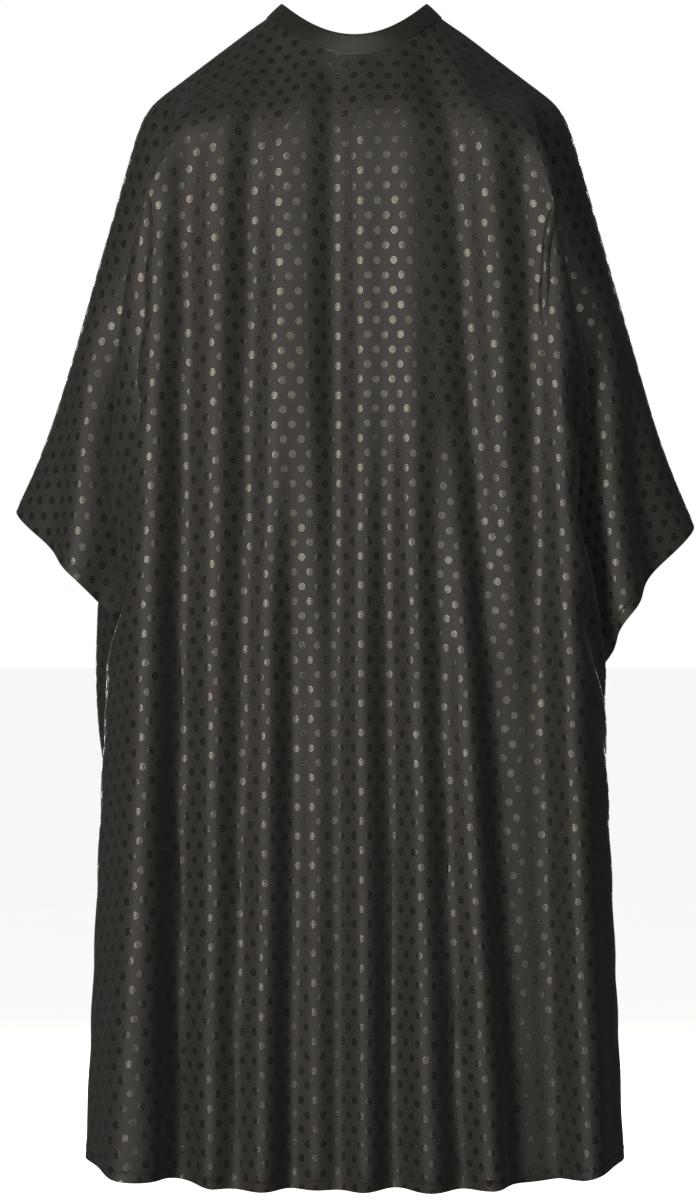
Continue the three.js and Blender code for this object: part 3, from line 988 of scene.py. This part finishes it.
class CAPE_OT_band(bpy.types.Operator):
    """Fold the satin band over the panel's neck edge and stitch it down"""

    bl_idname = "cape.band"
    bl_label = "Fold the neck band"

    def execute(self, context):
        sizes = context.scene.cape_sizes
        radius = sizes.neck_radius
        ends = math.pi - sizes.band_slit / 2 / radius
        steps_round = 260
        turns = np.linspace(-ends, ends, steps_round)
        # Across the strip: down from the outer lower edge over the fold to the inner one,
        # and the height above the band's middle, in millimetres.
        outer = [(22.0, 0.62), (20.6, 0.80), (19.4, 0.72), (17.5, 1.0), (12.0, 1.12), (5.0, 1.08)]
        fold = [(1.5, 0.95), (0.3, 0.70), (-0.2, 0.30)]
        half = outer + fold
        section = np.array(half + [(down, -height) for down, height in half[::-1]])
        down, height = section.T * MM
        # The seam puckers the satin in two waves, a short one and a long one.
        seam_down, seam_spread, stitch_height = 19.4 * MM, 2.5 * MM, 1.0 * MM
        seam = np.exp(-((down - seam_down) / seam_spread) ** 2) * np.sign(height)
        travel = turns[:, None] * radius
        ripple = np.sin(travel / (2.1 * MM)) * 0.10 * MM
        ripple = ripple + np.sin(travel / (5.3 * MM) + 1) * 0.08 * MM
        turn_grid, down_grid = np.meshgrid(turns, down, indexing="ij")
        rows = neck_point(turn_grid, down_grid, height[None] + ripple * seam[None], radius)
        across = np.r_[0, np.cumsum(np.hypot(np.diff(down), np.diff(height)))]
        flat = np.stack(np.meshgrid(turns * radius, across, indexing="ij"), -1)
        band = strip("satin_band", rows, flat)
        finish_with(band, "SOLIDIFY", thickness=0.4 * MM, offset=0)
        finish_with(band, "SUBSURF", levels=1, render_levels=1)
        dress(band, "satin_binding", "band_satin", "cape", "neck_band")
        for name, face in (("band_stitching_outer", 1), ("band_stitching_inner", -1)):
            depth = np.full(len(turns), seam_down)
            line = neck_point(turns, depth, np.full(len(turns), face * stitch_height), radius)
            row = stitches(name, line, neck_normal(turns, depth, radius) * face, sizes)
            dress(row, "spun_thread", "band_satin", "cape")
        frame["nodes"]["band_interlining"].data.materials[0] = material_for("pressed_felt")
        return {"FINISHED"}


class CAPE_OT_tab(bpy.types.Operator):
    """Sew the closing tab to one end of the band, over the other end's snaps"""

    bl_idname = "cape.tab"
    bl_label = "Sew the closing tab"

    def execute(self, context):
        sizes = context.scene.cape_sizes
        radius = sizes.neck_radius
        middle = sizes.band_width / 2
        thickness = sizes.tab_thickness
        root = Vector(frame["joints"][0]["pos_m"])
        root_turn = math.atan2(root.x, -root.y)
        root_travel = -(math.pi - abs(root_turn)) * radius
        past_socket, sewn = 12 * MM, 7 * MM
        tip_travel = travel_of("snap_socket_2", radius) + past_socket
        travel = np.linspace(root_travel - sewn, tip_travel, 66)
        # The tab leaves the band's face at its root and rises to the sockets' height.
        band_face, clearance, socket_top, ramp_length = 1.25 * MM, 0.35 * MM, 5.0 * MM, 14 * MM
        share = np.clip((travel - root_travel) / ramp_length, 0, 1)
        ramp = share * share * (3 - 2 * share)
        low = band_face + clearance + thickness / 2
        high = socket_top + thickness / 2
        height = low + (high - low) * ramp
        corner = 7 * MM
        past = np.clip((travel - (tip_travel - corner)) / corner, 0, 1)
        half = sizes.tab_width / 2 - corner * (1 - np.sqrt(np.maximum(1 - past ** 2, 0)))
        spread = np.linspace(-1, 1, 15)
        turns = math.pi - travel / radius
        turn_grid, spread_grid = np.meshgrid(turns, spread, indexing="ij")
        down_grid = middle + half[:, None] * spread_grid
        rows = neck_point(turn_grid, down_grid, height[:, None], radius)
        flat = np.stack(np.meshgrid(travel, spread * sizes.tab_width / 2, indexing="ij"), -1)
        tab = strip("closing_tab", rows[::-1], flat[::-1])
        finish_with(tab, "SOLIDIFY", thickness=thickness, offset=0)
        finish_with(tab, "BEVEL", width=0.45 * MM, segments=2, limit_method="ANGLE")
        finish_with(tab, "SUBSURF", levels=1, render_levels=1)
        dress(tab, "satin_binding", "band_satin", None, "neck_tab")
        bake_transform(tab)
        # The stitches run 2 mm inside the tab's edges and turn back just before its tip.
        inset = np.maximum(half - 2 * MM, 0.5 * MM)
        tip_margin, stitch_height = 2.2 * MM, 0.12 * MM
        keep = travel < tip_travel - tip_margin
        level = (height + thickness / 2 + stitch_height)[keep]
        upper = neck_point(turns[keep], (middle - inset)[keep], level, radius)
        lower = neck_point(turns[keep], (middle + inset)[keep], level, radius)
        line = np.vstack([upper, lower[::-1]])
        up = neck_normal(turns[keep], np.full(keep.sum(), middle), radius)
        row = stitches("tab_stitching", line, np.vstack([up, up[::-1]]), sizes)
        dress(row, "spun_thread", "band_satin", None)
        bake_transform(row)
        return {"FINISHED"}


def travel_of(node, radius):
    """How far along the neck a CAD node's middle lies from the centre back, towards +X."""
    low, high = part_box(node)
    middle = (Vector(low) + Vector(high)) / 2
    return (math.pi - math.atan2(middle.x, -middle.y)) * radius


def turned(name, profile, sides=32):
    """A turned piece on the Z axis, from (radius, height) steps in millimetres. It closes at
    both ends, or on itself where it ends as it starts."""
    ring = profile[0] == profile[-1]
    bpy.ops.object.select_all(action="DESELECT")
    bpy.ops.mesh.primitive_circle_add(
        vertices=sides, radius=profile[0][0] * MM, location=(0, 0, profile[0][1] * MM),
        fill_type="NOTHING" if ring else "NGON")
    piece = bpy.context.object
    piece.name = name
    bpy.ops.object.transform_apply(location=True, rotation=False, scale=False)
    bpy.ops.object.mode_set(mode="EDIT")
    bpy.ops.mesh.select_all(action="SELECT")
    for (old_radius, old_height), (new_radius, height) in zip(profile, profile[1:]):
        bpy.ops.mesh.extrude_region_move(
            TRANSFORM_OT_translate={"value": (0, 0, (height - old_height) * MM)})
        growth = new_radius / old_radius
        bpy.ops.transform.resize(
            value=(growth, growth, 1), center_override=(0, 0, height * MM))
    bpy.ops.mesh.select_all(action="SELECT")
    bpy.ops.mesh.remove_doubles(threshold=0.001 * MM)
    bpy.ops.mesh.normals_make_consistent(inside=False)
    bpy.ops.object.mode_set(mode="OBJECT")
    return piece


# Each kind of snap piece as (radius, height) steps in millimetres, its height being above
# the band's middle surface.
STUD = [
    (1.35, 3.2), (1.35, 1.65), (3.9, 1.60), (4.35, 1.66), (4.5, 1.84), (4.35, 2.04),
    (3.9, 2.10), (2.6, 2.02), (1.75, 2.10), (1.62, 2.40), (1.85, 2.75), (2.0, 3.05),
    (1.9, 3.40), (1.6, 3.62), (1.1, 3.70),
]
POST = [
    (0.8, -2.0), (2.6, -2.1), (3.7, -2.08), (4.3, -1.98), (4.5, -1.80), (4.35, -1.64),
    (4.0, -1.60), (1.0, -1.60), (1.0, 2.60), (0.8, 2.85),
]
SOCKET = [
    (2.8, 2.50), (3.3, 2.45), (4.0, 2.50), (4.4, 2.75), (4.5, 3.4), (4.4, 4.3), (4.1, 4.62),
    (3.4, 4.65), (1.35, 4.65), (1.35, 4.05), (2.4, 4.05), (2.7, 3.8), (2.65, 3.1), (2.8, 2.50),
]
CAP = [
    (0.8, 4.15), (1.0, 4.3), (1.0, 6.95), (4.6, 6.95), (4.9, 7.02), (5.0, 7.18), (4.8, 7.42),
    (4.2, 7.60), (3.2, 7.68), (2.2, 7.72), (1.0, 7.75),
]


class CAPE_OT_snaps(bpy.types.Operator):
    """Turn the studs, posts, sockets and caps and set each on the band or the tab"""

    bl_idname = "cape.snaps"
    bl_label = "Set the snaps"

    def execute(self, context):
        sizes = context.scene.cape_sizes
        kinds = {"stud": STUD, "post": POST, "socket": SOCKET, "cap": CAP}
        for node in sorted(frame["nodes"]):
            if not node.startswith("snap_"):
                continue
            kind = node.split("_")[1]
            piece = turned(node.replace("snap", "nickel"), kinds[kind])
            piece.data.transform(self.seat(node, sizes))
            body = "cape" if kind in ("stud", "post") else "tab"
            dress(piece, "nickel_plated_brass", "snap_nickel", body, node)
        return {"FINISHED"}

    def seat(self, node, sizes):
        """The turn and place that stand a snap piece on the band's middle surface."""
        radius = sizes.neck_radius
        turn = np.array(math.pi - travel_of(node, radius) / radius)
        down = np.array(sizes.band_width / 2)
        normal = Vector(neck_normal(turn, down, radius))
        spin = normal.to_track_quat("Z", "Y").to_matrix().to_4x4()
        return Matrix.Translation(Vector(neck_middle(turn, down, radius))) @ spin


class CAPE_OT_stage(bpy.types.Operator):
    """Set the floor, the lights, the world and the camera"""

    bl_idname = "cape.stage"
    bl_label = "Set the stage"

    def execute(self, context):
        scene = context.scene
        low, high = (Vector(corner) for corner in cad_box)
        middle = (low + high) / 2
        self.camera(scene)
        self.floor(scene, low)
        self.world(scene)
        warm_white = (1.0, 0.965, 0.92)
        # Name, place, width, height and watts.
        lights = [
            ("left_softbox", (-1.5, -2.5, -0.2), 0.7, 2.0, 68.0),
            ("front_softbox", (0.4, -3.0, -0.4), 1.4, 2.0, 30.0),
            ("top_light", (0.0, -2.0, 1.5), 1.0, 0.6, 8.0),
            ("back_left_light", (-0.9, 3.0, -0.2), 0.8, 1.8, 34.0),
            ("back_right_light", (0.9, 3.0, -0.2), 0.8, 1.8, 34.0),
        ]
        for name, place, width, tall, watts in lights:
            light = bpy.data.lights.new(name, "AREA")
            light.shape = "RECTANGLE"
            light.size = width
            light.size_y = tall
            light.energy = watts
            light.color = warm_white
            lamp = bpy.data.objects.new(name, light)
            lamp.location = place
            lamp.rotation_euler = (middle - Vector(place)).to_track_quat("-Z", "Y").to_euler()
            scene.collection.objects.link(lamp)
        scene.view_settings.view_transform = "Standard"
        return {"FINISHED"}

    def camera(self, scene):
        """Level with the cape's middle and straight in front of it."""
        distance = 3.3
        shown_height = 1.2
        aim = (-0.0065, -0.13, -0.575)
        lens = bpy.data.cameras.new("camera")
        lens.sensor_fit = "VERTICAL"
        lens.sensor_height = 24
        lens.lens = lens.sensor_height * distance / shown_height
        camera = bpy.data.objects.new("camera", lens)
        camera.location = (aim[0], aim[1] - distance, aim[2])
        camera.rotation_euler = (math.pi / 2, 0, 0)
        scene.collection.objects.link(camera)
        scene.camera = camera

    def floor(self, scene, low):
        """A wide pale floor, which the hanging cape doesn't touch."""
        material, tree, surface = new_material(
            "studio_floor", Roughness=0.8, Emission_Strength=1.0)
        place = add_node(tree, "ShaderNodeTexCoord").outputs["Object"]
        # Rolled paper has a faint cloudiness over a few decimetres.
        cloud = add_node(tree, "ShaderNodeTexNoise", {"Vector": place, "Scale": 3.0}).outputs["Fac"]
        pale = scene.cape_colours.floor
        tone = add_node(tree, "ShaderNodeMix", {
            FACTOR: cloud, FIRST: solid(pale, 0.97), SECOND: solid(pale)},
            data_type="RGBA").outputs[RESULT]
        link_surface(tree, surface, {"Base Color": tone, "Emission Color": tone})
        drop = 0.3
        bpy.ops.object.select_all(action="DESELECT")
        bpy.ops.mesh.primitive_circle_add(
            vertices=96, radius=40, fill_type="NGON", location=(0, 0, low.z - drop))
        floor = bpy.context.object
        floor.name = "floor"
        floor.data.materials.append(material)
        # The floor is bright to look at, and adds no light of its own to the cape.
        floor.visible_diffuse = False
        floor.visible_glossy = False

    def world(self, scene):
        """White to look at, and dim as a light, so that the dark cloth keeps its depth."""
        world = bpy.data.worlds.new("studio")
        world.use_nodes = True
        scene.world = world
        tree = world.node_tree
        seen = add_node(tree, "ShaderNodeLightPath").outputs["Is Camera Ray"]
        strength = add_node(tree, "ShaderNodeMapRange", {
            "Value": seen, "To Min": 0.04, "To Max": 1.0}).outputs["Result"]
        background = tree.nodes["Background"]
        background.inputs["Color"].default_value = (1, 1, 1, 1)
        tree.links.new(strength, background.inputs["Strength"])


class CAPE_PT_panel(bpy.types.Panel):
    """The cape's sizes, colours and steps"""

    bl_label = "Barber Cape"
    bl_idname = "CAPE_PT_panel"
    bl_space_type = "VIEW_3D"
    bl_region_type = "UI"
    bl_category = "Barber Cape"

    def draw(self, context):
        for group in (context.scene.cape_sizes, context.scene.cape_colours):
            for name in group.__annotations__:
                self.layout.prop(group, name)
        for operator in OPERATORS:
            self.layout.operator(operator.bl_idname)


OPERATORS = (CAPE_OT_stage, CAPE_OT_band, CAPE_OT_panel, CAPE_OT_tab, CAPE_OT_snaps)
CLASSES = (CapeSizes, CapeColours, *OPERATORS, CAPE_PT_panel)


def register():
    for each in CLASSES:
        bpy.utils.register_class(each)
    bpy.types.Scene.cape_sizes = bpy.props.PointerProperty(type=CapeSizes)
    bpy.types.Scene.cape_colours = bpy.props.PointerProperty(type=CapeColours)


def unregister():
    del bpy.types.Scene.cape_colours
    del bpy.types.Scene.cape_sizes
    for each in reversed(CLASSES):
        bpy.utils.unregister_class(each)


def main():
    register()
    bpy.ops.cape.stage()
    bpy.ops.cape.band()
    bpy.ops.cape.panel()
    bpy.ops.cape.tab()
    bpy.ops.cape.snaps()


if __name__ == "__main__":
    main()
